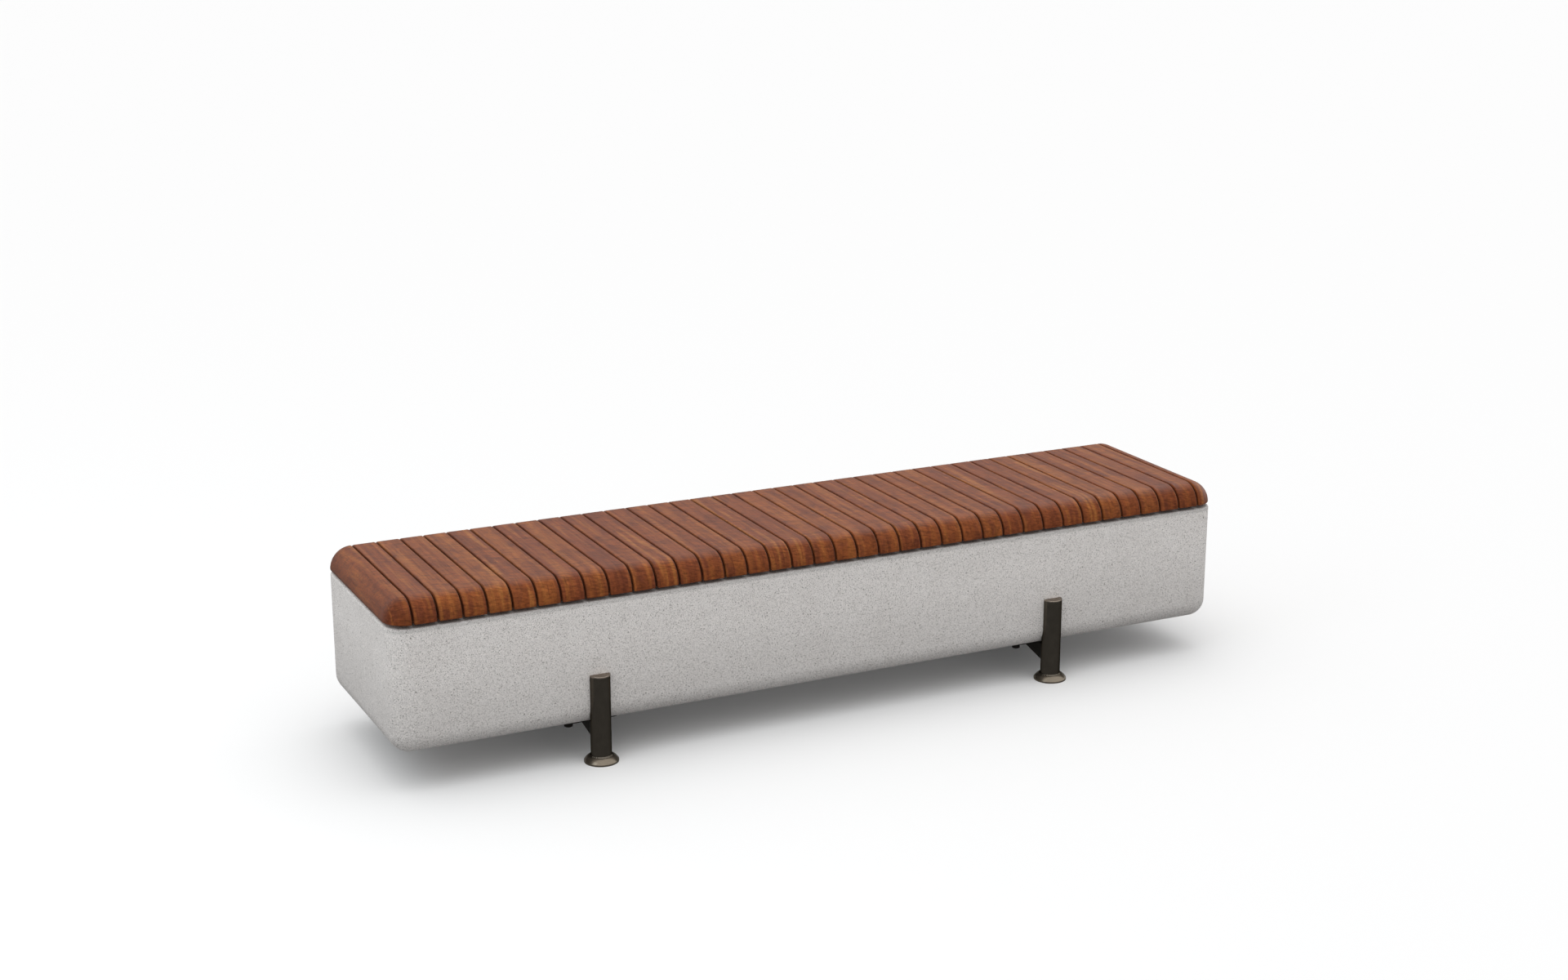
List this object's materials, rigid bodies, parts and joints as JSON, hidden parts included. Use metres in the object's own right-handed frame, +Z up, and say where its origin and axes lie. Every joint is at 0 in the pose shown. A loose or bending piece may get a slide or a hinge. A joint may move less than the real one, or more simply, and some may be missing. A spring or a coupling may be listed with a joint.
{
  "type": "backless bench",
  "caption": "Backless street bench: crosswise hardwood slats with rounded ends on a rounded concrete block, carried by short steel posts with domed feet.",
  "frame": {"origin": "on the ground, under the middle of the bench", "axes": "+X along the bench to its right end, +Y from front to back, +Z up"},
  "size_m": [2.1648, 0.58, 0.445],
  "materials": {
    "slat_wood": "oiled reddish-brown hardwood, satin",
    "concrete": "smooth light grey cast concrete with fine dark specks",
    "leg_steel": "dark bronze powder coat, satin",
    "rail_steel": "galvanised",
    "fastener_steel": "stainless"
  },
  "bodies": {
    "root": {"concrete_block": "concrete", "deck_rail_front": "rail_steel", "deck_rail_rear": "rail_steel", "end_slat_left": "slat_wood", "end_slat_right": "slat_wood", "foot_disc_front_left": "leg_steel", "foot_disc_front_right": "leg_steel", "foot_disc_rear_left": "leg_steel", "foot_disc_rear_right": "leg_steel", "foot_welds": "leg_steel", "leg_caps": "leg_steel", "leg_post_front_left": "leg_steel", "leg_post_front_right": "leg_steel", "leg_post_rear_left": "leg_steel", "leg_post_rear_right": "leg_steel", "leg_web_left": "leg_steel", "leg_web_right": "leg_steel", "rail_anchor_screws": "fastener_steel", "rail_sockets": "fastener_steel", "saddle_nuts": "leg_steel", "saddle_plate_left": "leg_steel", "saddle_plate_right": "leg_steel", "saddle_studs": "fastener_steel", "slat_02": "slat_wood", "slat_03": "slat_wood", "slat_04": "slat_wood", "slat_05": "slat_wood", "slat_06": "slat_wood", "slat_07": "slat_wood", "slat_08": "slat_wood", "slat_09": "slat_wood", "slat_10": "slat_wood", "slat_11": "slat_wood", "slat_12": "slat_wood", "slat_13": "slat_wood", "slat_14": "slat_wood", "slat_15": "slat_wood", "slat_16": "slat_wood", "slat_17": "slat_wood", "slat_18": "slat_wood", "slat_19": "slat_wood", "slat_20": "slat_wood", "slat_21": "slat_wood", "slat_22": "slat_wood", "slat_23": "slat_wood", "slat_24": "slat_wood", "slat_25": "slat_wood", "slat_26": "slat_wood", "slat_27": "slat_wood", "slat_28": "slat_wood", "slat_29": "slat_wood", "slat_30": "slat_wood", "slat_31": "slat_wood", "slat_32": "slat_wood", "slat_33": "slat_wood", "slat_34": "slat_wood", "slat_35": "slat_wood", "slat_36": "slat_wood", "slat_37": "slat_wood", "slat_screws": "fastener_steel"}
  },
  "joints": []
}
